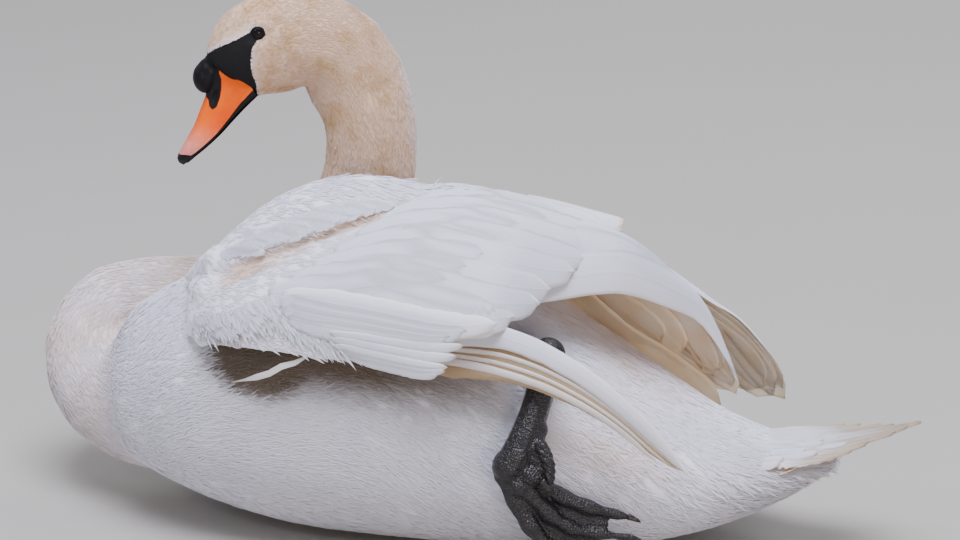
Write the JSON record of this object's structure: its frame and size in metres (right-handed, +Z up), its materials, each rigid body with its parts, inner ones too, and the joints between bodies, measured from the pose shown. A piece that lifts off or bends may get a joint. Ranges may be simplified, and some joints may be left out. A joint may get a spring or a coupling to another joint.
{
  "type": "mute swan",
  "caption": "Life-size adult male mute swan lying on its belly, neck folded forward and head raised, near wing drooped and one webbed foot trailing.",
  "frame": {"origin": "middle of the bird's footprint, on the floor it lies on", "axes": "+X towards the tail, +Y towards the bird's right side, +Z up"},
  "size_m": [0.8608, 0.3682, 0.4924],
  "materials": {
    "body_plumage": "soft white contour plumage, shaded warm grey on the flank",
    "flight_feather": "smooth white vanes, warm cream undersides",
    "head_plumage": "short dense cream-buff plumage",
    "bill": "satin orange horn, pink towards the tip, black nail and edges",
    "black_skin": "bare black skin, fine pores",
    "eye": "wet dark brown eye",
    "foot_skin": "blackish scaled skin, slightly wet"
  },
  "bodies": {
    "root": {"trunk": "body_plumage", "neck_lower": "head_plumage", "neck_middle": "head_plumage", "neck_upper": "head_plumage", "head": "head_plumage", "bill_upper": "bill", "bill_lower": "black_skin", "bill_knob": "black_skin", "eye_left": "eye", "eye_right": "eye", "tail": "flight_feather", "wing_left_coverts": "flight_feather", "wing_left_scapulars": "flight_feather", "wing_left_tertials": "flight_feather", "wing_left_primaries": "flight_feather", "wing_right_coverts": "flight_feather", "wing_right_scapulars": "flight_feather", "wing_right_tertials": "flight_feather", "wing_right_primaries": "flight_feather", "wing_right_stray_feather": "flight_feather", "leg_left_tarsus": "foot_skin", "leg_left_foot": "foot_skin", "leg_right_tarsus": "foot_skin", "leg_right_foot": "foot_skin"}
  },
  "joints": []
}
